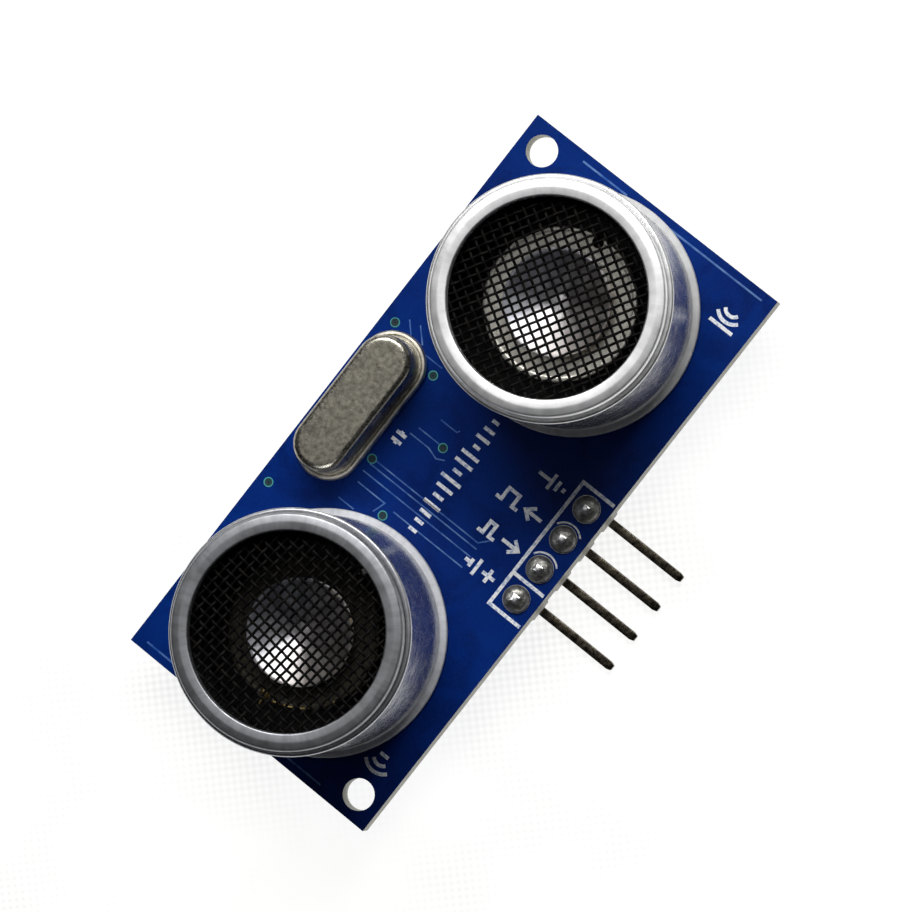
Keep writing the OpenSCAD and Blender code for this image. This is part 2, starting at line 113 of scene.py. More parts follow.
class Look:
    """One procedural material. Its textures are measured in millimetres in the frame's axes."""

    def __init__(self, name, **sockets):
        self.material = bpy.data.materials.new(name)
        self.material.use_nodes = True
        self.tree = self.material.node_tree
        self.shader = self.tree.nodes["Principled BSDF"]
        for socket, value in sockets.items():
            self.shader.inputs[socket.replace("_", " ")].default_value = value

    def add(self, kind, **settings):
        made = self.tree.nodes.new(kind)
        for key, value in settings.items():
            setattr(made, key, value)
        return made

    def feed(self, socket, value):
        """Links value to a socket where it is an output, and sets it where it is a number."""
        if isinstance(value, bpy.types.NodeSocket):
            self.tree.links.new(value, socket)
        else:
            socket.default_value = value

    def place(self, stretch=(1, 1, 1)):
        """Frame coordinates in millimetres, squeezed by stretch on each axis."""
        coords = self.add("ShaderNodeTexCoord")
        mapping = self.add("ShaderNodeMapping")
        self.feed(mapping.inputs["Vector"], coords.outputs["Object"])
        self.feed(mapping.inputs["Scale"], [s / MM for s in stretch])
        return mapping.outputs["Vector"]

    def noise(self, scale, detail=3, stretch=(1, 1, 1), vector=None, warp=0.0):
        made = self.add("ShaderNodeTexNoise")
        self.feed(made.inputs["Vector"], vector or self.place(stretch))
        self.feed(made.inputs["Scale"], scale)
        self.feed(made.inputs["Detail"], detail)
        self.feed(made.inputs["Distortion"], warp)
        return made.outputs["Fac"]

    def polar(self, around, out=1.0, up=1.0, centre=None):
        """Coordinates wrapped round a vertical axis: arc length at radius 1, radius and height.

        Without a centre they wrap round both transducers' axes at once.
        """
        split = self.add("ShaderNodeSeparateXYZ")
        self.feed(split.inputs["Vector"], self.place())
        if centre is None:
            x = self.math("SUBTRACT", self.math("ABSOLUTE", split.outputs["X"]), AXIS_X)
        else:
            x = self.math("SUBTRACT", split.outputs["X"], centre)
        y = split.outputs["Y"]
        radius = self.math("SQRT", self.math("ADD", self.math("MULTIPLY", x, x),
                                             self.math("MULTIPLY", y, y)))
        join = self.add("ShaderNodeCombineXYZ")
        for socket, value, scale in (("X", self.math("ARCTAN2", y, x), around), ("Y", radius, out),
                                     ("Z", split.outputs["Z"], up)):
            self.feed(join.inputs[socket], self.math("MULTIPLY", value, scale))
        return join.outputs["Vector"]

    def axis(self, name, vector=None):
        """One coordinate, X, Y or Z, in millimetres."""
        split = self.add("ShaderNodeSeparateXYZ")
        self.feed(split.inputs["Vector"], vector or self.place())
        return split.outputs[name]

    def math(self, operation, first, second=0.0):
        made = self.add("ShaderNodeMath", operation=operation)
        self.feed(made.inputs[0], first)
        self.feed(made.inputs[1], second)
        return made.outputs["Value"]

    def span(self, value, low, high, to_low=0.0, to_high=1.0):
        """Value taken from low..high to to_low..to_high, and held at its ends."""
        made = self.add("ShaderNodeMapRange")
        for socket, number in zip(("Value", "From Min", "From Max", "To Min", "To Max"),
                                  (value, low, high, to_low, to_high)):
            self.feed(made.inputs[socket], number)
        return made.outputs["Result"]

    def mix(self, share, first, second):
        """Colour between first and second."""
        made = self.add("ShaderNodeMix", data_type="RGBA")
        self.feed(made.inputs["Factor"], share)
        for socket, colour in zip((made.inputs[6], made.inputs[7]), (first, second)):
            self.feed(socket, colour if isinstance(colour, bpy.types.NodeSocket) else (*colour, 1))
        return made.outputs[2]

    def facing_up(self):
        """The surface normal's part along Z."""
        geometry = self.add("ShaderNodeNewGeometry")
        return self.axis("Z", geometry.outputs["Normal"])

    def leaning(self, x, y, z):
        """The surface normal of a piece that is pressed a little out of true."""
        geometry = self.add("ShaderNodeNewGeometry")
        lean = self.add("ShaderNodeVectorMath", operation="ADD")
        unit = self.add("ShaderNodeVectorMath", operation="NORMALIZE")
        self.feed(lean.inputs[0], geometry.outputs["Normal"])
        self.feed(lean.inputs[1], (x, y, z))
        self.feed(unit.inputs[0], lean.outputs["Vector"])
        return unit.outputs["Vector"]

    def paint(self, colour):
        self.feed(self.shader.inputs["Base Color"], colour)

    def gloss(self, value):
        self.feed(self.shader.inputs["Roughness"], value)

    def relief(self, height, depth, under=None):
        """Bump of a height from 0 to 1 over depth millimetres. under is a bump below it."""
        bump = self.add("ShaderNodeBump")
        self.feed(bump.inputs["Height"], height)
        self.feed(bump.inputs["Distance"], depth * MM)
        if under is not None:
            self.feed(bump.inputs["Normal"], under)
        self.feed(self.shader.inputs["Normal"], bump.outputs["Normal"])
        return bump.outputs["Normal"]


def board_look():
    """Blue solder mask over copper and laminate, with bare glass fibre at every cut edge."""
    look = Look("board_mask", Specular_IOR_Level=0.06)
    blotch = look.noise(0.16, 4)
    bare = look.span(look.noise(0.42, 5, warp=0.5), 0.38, 0.5, 0.55, 0.0)
    grain = look.noise(7.0, 3)
    blue = look.mix(look.span(blotch, 0.35, 0.68), (0.0002, 0.013, 0.12), (0.0005, 0.021, 0.165))
    blue = look.mix(bare, blue, (0.0001, 0.007, 0.07))
    blue = look.mix(look.span(grain, 0.35, 0.8, 0.0, 0.4), blue, (0.002, 0.034, 0.22))
    layers = look.noise(2.2, 4, stretch=(0.25, 0.25, 7))
    fibre = look.mix(layers, (0.2, 0.2, 0.15), (0.6, 0.58, 0.5))
    flat = look.span(look.math("ABSOLUTE", look.facing_up()), 0.5, 0.8)
    look.paint(look.mix(flat, fibre, blue))
    look.gloss(look.span(look.noise(1.4, 3), 0.3, 0.7, 0.3, 0.42))
    look.relief(grain, 0.002)
    return look.material


def track_look():
    """Solder mask where it runs over the edge of a copper track, worn thin and paler, with a
    painted highlight for the glint along those edges.
    """
    look = Look("board_track_painted_highlight", Specular_IOR_Level=0.3)
    wear = look.noise(1.1, 4)
    look.paint(look.mix(look.span(wear, 0.35, 0.65), (0.01, 0.07, 0.3), (0.1, 0.2, 0.42)))
    look.gloss(look.span(look.noise(5.0), 0.3, 0.7, 0.3, 0.5))
    look.relief(look.noise(12.0), 0.002)
    return look.material


def print_look():
    """White ink, a little patchy, with the blue mask showing through where it is thin."""
    look = Look("board_print")
    thin = look.noise(4.5, 5)
    look.paint(look.mix(look.span(thin, 0.36, 0.52), (0.36, 0.44, 0.6), (0.8, 0.81, 0.82)))
    look.gloss(look.span(look.noise(8.0), 0.3, 0.7, 0.45, 0.7))
    look.relief(thin, 0.006)
    return look.material


def aluminium_look(name, bright, centre, streaks, painted_shade):
    """Drawn aluminium: satin wall, matte lip and foot, streaks up the wall and cloudy patches.

    The last argument says how far the lip, the wall and the foot are darkened towards black:
    painted shade, set for how the light falls on each can. The foot is oxidised, so it
    hardly shines as a metal.
    """
    look = Look(name, Metallic=1.0)
    roughness = 0.24
    patches = look.noise(0.5, 4, warp=0.6)
    radial = look.noise(1.0, 4, vector=look.polar(26, 0.7, 0.7, centre))
    cloud = look.noise(1.6, 5)
    colour = look.mix(look.span(patches, 0.34, 0.66), [c * 0.86 for c in bright], bright)
    streak = look.span(radial, 0.44, 0.66, 0.0, streaks)
    colour = look.mix(streak, colour, [c * 0.6 for c in bright])
    stain = look.span(cloud, 0.5, 0.75, 0.0, 0.22)
    colour = look.mix(stain, colour, [c * 0.66 for c in bright])
    height = look.axis("Z")
    lip = look.span(height, LIP_FROM, LIP_FULL)
    foot = look.span(height, FOOT_FULL, FOOT_TO, 1.0, 0.0)
    lip_painted_shade, wall_painted_shade, foot_painted_shade = painted_shade
    # Painted shade: each zone is darkened towards black by its own share.
    tone = look.math("ADD", look.math("MULTIPLY", lip, lip_painted_shade - wall_painted_shade),
                     look.math("MULTIPLY", foot, foot_painted_shade - wall_painted_shade))
    look.paint(look.mix(look.math("ADD", tone, wall_painted_shade), colour, (0, 0, 0)))
    matte = look.math("ADD", look.math("MULTIPLY", lip, 0.22), look.math("MULTIPLY", foot, 0.32))
    satin = look.span(cloud, 0.3, 0.7, roughness - 0.04, roughness + 0.06)
    look.gloss(look.math("ADD", satin, matte))
    look.feed(look.shader.inputs["Metallic"], look.span(foot, 0.0, 1.0, 1.0, 0.1))
    wavy = look.relief(look.noise(0.34, 2, warp=0.3), 0.05)
    look.relief(look.noise(5.0, 2), 0.0008, wavy)
    return look.material


def inside_painted_shade_look():
    """Inside of a can, painted near-black: painted shade for the dark behind the screen."""
    look = Look("can_inside_painted_shade")
    look.paint(look.mix(look.noise(1.5, 4), (0.003, 0.003, 0.004), (0.012, 0.011, 0.011)))
    look.gloss(look.span(look.noise(3.0), 0.3, 0.7, 0.6, 0.8))
    look.relief(look.noise(7.0), 0.01)
    return look.material


def screen_look():
    """Blackened steel wire, a little rubbed on the crowns of the weave."""
    look = Look("screen_wire", Specular_IOR_Level=0.06)
    look.paint(look.mix(look.span(look.noise(2.2, 4), 0.4, 0.7), (0.0015, 0.0015, 0.0015),
                        (0.01, 0.009, 0.008)))
    look.gloss(look.span(look.noise(6.0), 0.3, 0.7, 0.5, 0.65))
    look.relief(look.noise(22.0, 2), 0.002)
    return look.material


def cone_look():
    """Bright spun aluminium with fine turning rings, a few radial smears and a painted reflection,
    warm towards -Y and cool towards +Y.
    """
    look = Look("cone_bright", Metallic=1.0, Anisotropic=0.5, Anisotropic_Rotation=0.25)
    around = look.add("ShaderNodeTangent", direction_type="RADIAL", axis="Z")
    look.feed(look.shader.inputs["Tangent"], around.outputs["Tangent"])
    rings = look.noise(1.0, 3, vector=look.polar(0.25, 9.0, 9.0))
    smears = look.noise(1.0, 4, vector=look.polar(3.0, 0.3, 0.3))
    colour = look.mix(look.span(smears, 0.35, 0.65), (0.5, 0.48, 0.47), (0.92, 0.91, 0.9))
    colour = look.mix(look.span(rings, 0.4, 0.7, 0.0, 0.3), colour, (0.4, 0.38, 0.37))
    # Painted reflection: the room's colours mirrored in the cone, warm towards -Y and cool towards
    # +Y.
    tint = look.mix(look.span(look.axis("Y"), -3, 3), (0.66, 0.54, 0.45), (0.36, 0.42, 0.6))
    look.paint(look.mix(0.4, colour, tint))
    look.gloss(look.span(smears, 0.3, 0.7, 0.3, 0.42))
    look.relief(rings, 0.002, look.leaning(0, 0.11, 0))
    return look.material


def plate_look(name, low, high, metallic, roughness):
    """Sheet with a cloudy surface, between two tones."""
    look = Look(name, Metallic=metallic)
    look.paint(look.mix(look.span(look.noise(0.9, 5, warp=0.8), 0.34, 0.66), low, high))
    look.gloss(look.span(look.noise(3.5, 4), 0.3, 0.7, roughness - 0.08, roughness + 0.1))
    look.relief(look.noise(6.0, 4), 0.006)
    return look.material


def metal_look(name, low, high, roughness, lump=0.02, scale=1.6):
    """Plated or cast metal with a cloudy tone and a lumpy skin."""
    look = Look(name, Metallic=1.0)
    look.paint(look.mix(look.span(look.noise(scale, 5), 0.32, 0.68), low, high))
    look.gloss(look.span(look.noise(scale * 2.5, 4), 0.3, 0.7, roughness - 0.08, roughness + 0.12))
    fine = look.relief(look.noise(scale * 7, 2), lump * 0.1)
    look.relief(look.noise(scale * 1.6, 2), lump, fine)
    return look.material


def plastic_look(name, low, high, roughness):
    """Moulded plastic or ceramic with a fine grain and a slow drift of tone."""
    look = Look(name)
    slow = look.span(look.noise(0.7, 4), 0.3, 0.7)
    look.paint(look.mix(slow, low, high))
    look.gloss(look.span(look.noise(4.0, 3), 0.3, 0.7, roughness - 0.06, roughness + 0.08))
    look.relief(look.noise(14.0, 4), 0.006)
    return look.material


def glass_look():
    """Quartz strip, clear with a faint haze."""
    look = Look("quartz", IOR=1.54, Transmission_Weight=0.7)
    look.paint(look.mix(look.noise(2.0), (0.8, 0.84, 0.87), (0.95, 0.96, 0.97)))
    look.gloss(look.span(look.noise(5.0), 0.3, 0.7, 0.05, 0.16))
    look.relief(look.noise(9.0), 0.002)
    return look.material


THREAD_RATE = 9.0
CLOTH_GLOW = 0.95
WEAVE_SHADE = 0.2


def floor_look():
    """White cotton sheet, lit so strongly that only a trace of its weave shows."""
    look = Look("white_cloth", Roughness=0.9, Specular_IOR_Level=0.1)
    across = look.math("SINE", look.math("MULTIPLY", look.axis("X"), THREAD_RATE))
    along = look.math("SINE", look.math("MULTIPLY", look.axis("Y"), THREAD_RATE))
    threads = look.math("MULTIPLY", across, along)
    cloud = look.span(look.noise(0.05, 4), 0.4, 0.7)
    look.paint(look.mix(cloud, (0.16, 0.16, 0.155), (0.2, 0.2, 0.19)))
    glow = look.math("MULTIPLY", look.span(threads, -1, 1, 0.0, WEAVE_SHADE), cloud)
    look.feed(look.shader.inputs["Emission Color"], (1.0, 1.0, 0.995, 1))
    look.feed(look.shader.inputs["Emission Strength"], look.math("SUBTRACT", CLOTH_GLOW, glow))
    look.relief(threads, 0.01)
    return look.material


LOOKS = {
    "board": board_look(),
    "copper_pad": metal_look("copper_pad", (0.42, 0.4, 0.34), (0.72, 0.7, 0.62), 0.35),
    # The teal ring is a painted highlight on each via's rim.
    "via_ring": plastic_look("via_ring", (0.02, 0.2, 0.2), (0.06, 0.34, 0.32), 0.35),
    "can_metal": aluminium_look("can_painted_shade_bright", (0.96, 0.96, 0.96), AXIS_X, 0.2, (0.08, 0.4, 0.42)),
    "screen_wire": screen_look(),
    "cone_metal": cone_look(),
    # The transmitter's brass plate is painted near-black: a painted reflection of the dark room it
    # mirrors.
    "transmitter_plate": plate_look("plate_painted_dark_reflection", (0.012, 0.011, 0.007), (0.05, 0.042, 0.024),
                                    0.3, 0.5),
    "receiver_plate": plate_look("plate_pale", (0.82, 0.79, 0.7), (0.97, 0.94, 0.85), 0.85, 0.31),
    "ceramic": plastic_look("ceramic", (0.5, 0.45, 0.34), (0.66, 0.6, 0.46), 0.7),
    "silicone": plastic_look("silicone", (0.5, 0.5, 0.48), (0.62, 0.62, 0.6), 0.45),
    "base_plastic": plastic_look("base_resin", (0.008, 0.008, 0.009), (0.02, 0.02, 0.021), 0.4),
    "lead_metal": metal_look("lead_tin", (0.55, 0.55, 0.53), (0.8, 0.8, 0.78), 0.3),
    "copper_wire": metal_look("copper_wire", (0.5, 0.2, 0.08), (0.75, 0.36, 0.17), 0.3),
    "solder": metal_look("solder", (0.15, 0.148, 0.136), (0.36, 0.355, 0.33), 0.45,
                         lump=0.05, scale=2.4),
    "crystal_metal": metal_look("crystal_nickel", (0.2, 0.19, 0.155), (0.42, 0.395, 0.33), 0.3,
                                lump=0.006, scale=3.2),
    "bead_glass": plastic_look("bead_glass", (0.1, 0.16, 0.13), (0.2, 0.27, 0.22), 0.15),
    "quartz": glass_look(),
    "header_plastic": plastic_look("header_ivory", (0.52, 0.5, 0.44), (0.68, 0.66, 0.6), 0.5),
    "pin_metal": metal_look("pin_bronze", (0.035, 0.03, 0.022), (0.22, 0.19, 0.14), 0.3,
                            lump=0.015, scale=2.2),
    "chip_plastic": plastic_look("chip_resin", (0.012, 0.012, 0.013), (0.028, 0.028, 0.03), 0.5),
    "leg_metal": metal_look("leg_tin", (0.55, 0.55, 0.55), (0.78, 0.78, 0.77), 0.32),
    "resistor_film": plastic_look("resistor_glaze", (0.01, 0.01, 0.012), (0.03, 0.03, 0.033), 0.25),
    "capacitor_ceramic": plastic_look("capacitor_body", (0.26, 0.17, 0.09), (0.36, 0.25, 0.14),
                                      0.5),
}
# The transmitter's can is a darker copy of the same aluminium: painted shade.
CAN_OUTSIDE = {
    "receiver": LOOKS["can_metal"],
    "transmitter": aluminium_look("can_painted_shade_grey", (0.62, 0.63, 0.66), -AXIS_X, 0.45, (0.42, 0.0, 0.05)),
}
CAN_INSIDE_PAINTED_SHADE = inside_painted_shade_look()
# The flange is a lighter copy of the crystal's metal: a painted highlight along its rim.
FLANGE_PAINTED_HIGHLIGHT_LOOK = metal_look("crystal_flange", (0.5, 0.47, 0.4), (0.74, 0.7, 0.6), 0.42, lump=0.006)
# Near-white metal for the pins' ends above the board: a painted highlight.
PIN_END_PAINTED_HIGHLIGHT = metal_look("pin_end_painted_highlight", (0.75, 0.75, 0.74), (0.95, 0.95, 0.94), 0.3, lump=0.004)
# Near-black for the land inside the rim and for the hole: painted shade.
VIA_PAINTED_SHADE = plastic_look("via_hole_painted_shade", (0.0005, 0.012, 0.02), (0.002, 0.03, 0.04), 0.75)
WIRE_LOOKS = {
    # The transmitter's wire is a bright gold copy of the copper: a painted glint at its joint on
    # the plate.
    "transmitter": metal_look("wire_painted_glint", (0.7, 0.5, 0.16), (0.9, 0.72, 0.3), 0.25, lump=0.01),
    "receiver": metal_look("wire_dark", (0.03, 0.022, 0.015), (0.08, 0.05, 0.03), 0.35, lump=0.01),
}
# Amber for the smears on the transmitter: painted glints.
PAINTED_GLINT_LOOK = plastic_look("amber_painted_glint", (0.34, 0.22, 0.05), (0.6, 0.44, 0.14), 0.2)
TRACK_PAINTED_HIGHLIGHT_LOOK = track_look()
PRINT_LOOK = print_look()


# ---------------------------------------------------------------- mesh tools

def make_piece(name, shape, materials, replaces=(), sharp=35, slots=None):
    """Turns (points in mm, faces) into a piece that rides on the sensor's one body."""
    points, faces = shape
    mesh = bpy.data.meshes.new(name)
    mesh.from_pydata([[c * MM for c in p] for p in points], [], faces)
    for material in materials:
        mesh.materials.append(material)
    if slots:
        mesh.polygons.foreach_set("material_index", slots)
    work = bmesh.new()
    work.from_mesh(mesh)
    bmesh.ops.recalc_face_normals(work, faces=work.faces)
    work.to_mesh(mesh)
    work.free()
    mesh.shade_smooth()
    mesh.set_sharp_from_angle(angle=math.radians(sharp))
    piece = bpy.data.objects.new(name, mesh)
    bpy.context.scene.collection.objects.link(piece)
    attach(piece, "root")
    if replaces:
        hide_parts(*replaces)
    return piece


def joined(shapes):
    """Several (points, faces) as one."""
    points, faces = [], []
    for some_points, some_faces in shapes:
        base = len(points)
        points += some_points
        faces += [[base + i for i in face] for face in some_faces]
    return points, faces


def filleted(corners, steps=5, closed=True):
    """Outline through (a, b, radius) corners, with an arc of that radius at each."""
    count = len(corners)
    outline = []
    for i, (a, b, radius) in enumerate(corners):
        here = Vector((a, b))
        if radius == 0 or (not closed and i in (0, count - 1)):
            outline.append((a, b))
            continue
        before = (Vector(corners[i - 1][:2]) - here).normalized()
        after = (Vector(corners[(i + 1) % count][:2]) - here).normalized()
        half = before.angle(after) / 2
        middle = here + (before + after).normalized() * (radius / math.sin(half))
        start = here + before * (radius / math.tan(half)) - middle
        sweep = (math.pi - 2 * half) * (1 if before.x * after.y - before.y * after.x < 0 else -1)
        for k in range(steps + 1):
            turn = Matrix.Rotation(sweep * k / steps, 2)
            outline.append(tuple(middle + turn @ start))
    return outline


ON_AXIS = 1e-6


def lathe(section, centre, segments, closed=True):
    """Section of (radius, height) turned round Z. An open one starts and ends on the axis."""
    points, rings = [], []
    for radius, height in section:
        if radius < ON_AXIS:
            rings.append([len(points)] * segments)
            points.append([centre[0], centre[1], centre[2] + height])
            continue
        rings.append(range(len(points), len(points) + segments))
        for k in range(segments):
            angle = 2 * math.pi * k / segments
            points.append([centre[0] + radius * math.cos(angle),
                           centre[1] + radius * math.sin(angle), centre[2] + height])
    faces = []
    last = len(rings) if closed else len(rings) - 1
    for i in range(last):
        lower, upper = rings[i], rings[(i + 1) % len(rings)]
        for k in range(segments):
            n = (k + 1) % segments
            face = [lower[k], lower[n], upper[n], upper[k]]
            faces.append([v for j, v in enumerate(face) if v != face[j - 1]])
    return points, faces


def loft(rings):
    """Skin over rings of equal length, with a flat cap at each end."""
    count = len(rings[0])
    points = [list(p) for ring in rings for p in ring]
    faces = []
    for i in range(len(rings) - 1):
        for k in range(count):
            n = (k + 1) % count
            faces.append([i * count + k, i * count + n, (i + 1) * count + n, (i + 1) * count + k])
    faces.append(list(range(count)))
    faces.append([(len(rings) - 1) * count + k for k in range(count)])
    return points, faces


def rounded_rectangle(width, height, radius, steps=3):
    w, h = width / 2, height / 2
    return filleted([(-w, -h, radius), (w, -h, radius), (w, h, radius), (-w, h, radius)], steps)


def inset(outline, distance):
    """Outline moved inwards by distance, corner by corner. It runs anticlockwise."""
    moved_in = []
    for i, here in enumerate(outline):
        here = Vector(here)
        before = (here - Vector(outline[i - 1])).normalized()
        after = (Vector(outline[(i + 1) % len(outline)]) - here).normalized()
        normal = Vector((-before.y - after.y, before.x + after.x)).normalized()
        reach = distance / max(0.3, normal.dot(Vector((-before.y, before.x))))
        moved_in.append(tuple(here + normal * reach))
    return moved_in


def slab(outline, low, high, bevel):
    """Outline between two heights, with its top and bottom edges cut off by bevel."""
    small = inset(outline, bevel)
    levels = [(small, low), (outline, low + bevel), (outline, high - bevel), (small, high)]
    return loft([[(x, y, z) for x, y in ring] for ring, z in levels])


def stadium(length, width, steps=24):
    """Anticlockwise outline of a bar with round ends along X."""
    reach, radius = (length - width) / 2, width / 2
    outline = []
    for side, start in ((1, -math.pi / 2), (-1, math.pi / 2)):
        for k in range(steps + 1):
            angle = start + math.pi * k / steps
            outline.append((side * reach + radius * math.cos(angle), radius * math.sin(angle)))
    return outline


def arc(x, y, radius, start, end, steps=10):
    """Points along an arc, with its angles in degrees."""
    turns = [math.radians(start + (end - start) * k / steps) for k in range(steps + 1)]
    return [(x + radius * math.cos(t), y + radius * math.sin(t)) for t in turns]


def stroke(path, width, low, high, taper=0.3):
    """Flat raised line along path, with sloping sides and mitred corners."""
    half = width / 2
    sections = []
    for i, here in enumerate(path):
        here = Vector(here)
        before = (here - Vector(path[i - 1])).normalized() if i else None
        after = (Vector(path[i + 1]) - here).normalized() if i < len(path) - 1 else None
        before, after = before or after, after or before
        side = Vector((-before.y - after.y, before.x + after.x)).normalized()
        reach = half / max(0.4, side.dot(Vector((-before.y, before.x))))
        top = reach * (1 - taper)
        sections.append([(*(here + side * reach), low), (*(here + side * top), high),
                         (*(here - side * top), high), (*(here - side * reach), low)])
    return loft(sections)


# ---------------------------------------------------------------- transducers

CAN_SEGMENTS = 192
DISC_SEGMENTS = 128
WIRE_RADIUS = 0.092
WEAVE_LIFT = 0.085
WEFT_PITCH, WARP_PITCH = 0.54, 0.61
SCREEN_TURN = {"transmitter": math.radians(-6), "receiver": math.radians(-30)}


def axis_of(side):
    """Foot of a transducer's axis, on the board's front."""
    low, high = node_box(side + "_can")
    return ((low.x + high.x) / 2, (low.y + high.y) / 2, low.z)


def make_can(side):
    """Drawn can: rim on the board, wall, shoulder, groove, folded lip and the inside, painted
    near-black as shade.
    """
    low, high = node_box(side + "_can")
    foot, height = (high.x - low.x) / 2, high.z - low.z
    wall, shoulder, lip, inner, mouth = (foot - step for step in (0.5, 0.3, 0.65, 0.9, 1.85))
    groove_z, folded_z = height - 1, height - 0.7
    outside = [
        (inner, 0, 0), (foot, 0, 0.12), (foot, 0.46, 0.16), (wall + 0.02, 0.52, 0.1),
        (wall, groove_z - 1.0, 1.2), (shoulder, groove_z - 0.25, 0.5),
        (shoulder - 0.02, groove_z, 0.19), (lip - 0.02, groove_z - 0.02, 0.03),
        (lip - 0.16, groove_z - 0.14, 0.03), (lip - 0.13, groove_z + 0.08, 0.06),
        (lip, groove_z + 0.3, 0.15), (lip - 0.01, height - 0.09, 0.24), (lip - 0.6, height, 0.8),
        (mouth, height - 0.03, 0.14),
    ]
    inside = [(mouth, height - 0.68, 0.06), (inner - 0.05, folded_z, 0),
              (inner, groove_z - 0.05, 0)]
    section = filleted(outside + inside, 6)
    shape = lathe(section, axis_of(side), CAN_SEGMENTS)
    # Faces from the mouth inwards take the inside's painted shade.
    painted_shade_from = next(i for i, (r, z) in enumerate(section)
                     if r < mouth + 0.01 and z < height - 0.3)
    slots = [int(i // CAN_SEGMENTS >= painted_shade_from) for i in range(len(shape[1]))]
    make_piece(side + "_shell", shape, [CAN_OUTSIDE[side], CAN_INSIDE_PAINTED_SHADE],
               [side + "_can"], 50, slots)


def woven_wire(offset, reach, over_pitch, sign):
    """Tube along X at y = offset that rises and dips over wires over_pitch apart."""
    sides, per_crossing = 6, 4
    steps = max(4, round(2 * reach / over_pitch * per_crossing))
    rings = []
    for k in range(steps + 1):
        x = -reach + 2 * reach * k / steps
        lift = sign * WEAVE_LIFT * math.cos(math.pi * x / over_pitch)
        turns = [2 * math.pi * side / sides for side in range(sides)]
        rings.append([(x, offset + WIRE_RADIUS * math.cos(t), lift + WIRE_RADIUS * math.sin(t))
                      for t in turns])
    return loft(rings)


def cloth_wires(radius, pitch, over_pitch):
    """One set of parallel wires that fills a circle."""
    count = int(radius / pitch)
    wires = []
    for i in range(-count, count + 1):
        reach = math.sqrt(radius ** 2 - (i * pitch) ** 2)
        if reach > pitch:
            wires.append(woven_wire(i * pitch, reach, over_pitch, 1 if i % 2 else -1))
    return joined(wires)


def make_screen(side):
    """Plain-woven wire cloth, clamped under the folded lip."""
    low, high = node_box(side + "_screen")
    radius = (high.x - low.x) / 2
    x, y, _ = axis_of(side)
    weft = cloth_wires(radius, WEFT_PITCH, WARP_PITCH)
    warp_points, warp_faces = cloth_wires(radius, WARP_PITCH, WEFT_PITCH)
    warp = ([(-b, a, -c) for a, b, c in warp_points], warp_faces)
    points, faces = joined([weft, warp])
    turn = Matrix.Rotation(SCREEN_TURN[side], 3, "Z")
    middle = Vector((x, y, (low.z + high.z) / 2))
    points = [turn @ Vector(p) + middle for p in points]
    make_piece(side + "_mesh", (points, faces), [LOOKS["screen_wire"]],
               [side + "_screen"], 60)


def make_cone(side):
    """Shallow spun cone with a hemmed rim and a flat where it is glued to the plate."""
    low, high = node_box(side + "_cone")
    radius, rise = (high.x - low.x) / 2, high.z - low.z
    sheet = 0.12
    section = filleted([
        (0, 0, 0), (0.7, 0, 0.5), (radius - 0.2, rise - 0.24, 0.2), (radius, rise - 0.14, 0.05),
        (radius - 0.01, rise, 0.05), (radius - 0.2, rise - 0.02, 0.1), (0.66, sheet, 0.6),
        (0, sheet, 0),
    ], 6, closed=False)
    shape = lathe(section, (*axis_of(side)[:2], low.z), DISC_SEGMENTS, closed=False)
    make_piece(side + "_horn", shape, [LOOKS["cone_metal"]], [side + "_cone"], 60)


def make_plate(side):
    """Round vibrating plate with a rolled edge."""
    low, high = node_box(side + "_plate")
    radius, thick = (high.x - low.x) / 2, high.z - low.z
    section = filleted([
        (0, 0, 0), (radius, 0, 0.1), (radius, thick, 0.12), (radius - 0.3, thick, 0.1),
        (radius - 0.36, thick - 0.03, 0.1), (0, thick - 0.03, 0),
    ], 5, closed=False)
    shape = lathe(section, (*axis_of(side)[:2], low.z), DISC_SEGMENTS, closed=False)
    plate = side + "_plate"
    make_piece(side + "_disc", shape, [LOOKS[plate]], [plate], 50)


def make_painted_glints():
    """Amber smears on the transmitter's plate and under its cone's rim: painted glints of warm
    light.
    """
    x, y, _ = axis_of("transmitter")
    plate_top, rim_top = node_box("transmitter_plate")[1].z, node_box("transmitter_cone")[1].z
    smears = [(4.98, -166, -150, 0.16, plate_top), (5.0, -146, -134, 0.13, plate_top),
              (5.0, -118, -110, 0.12, plate_top), (3.52, -12, 2, 0.1, rim_top - 0.06),
              (3.54, -44, -30, 0.1, rim_top - 0.06)]
    shapes = [stroke(arc(x, y, radius, start, end, 12), width, z - 0.05, z + 0.07, taper=0.6)
              for radius, start, end, width, z in smears]
    make_piece("transmitter_painted_glints", joined(shapes), [PAINTED_GLINT_LOOK], sharp=80)


# ---------------------------------------------------------------- crystal

def oblong(low, high, x, y, levels):
    """Bar with round ends about (x, y). Each level is (cut in from the box's sides, height)."""
    length, width = high.x - low.x, high.y - low.y
    return loft([[(x + a, y + b, low.z + up)
                  for a, b in stadium(length - 2 * cut, width - 2 * cut)] for cut, up in levels])


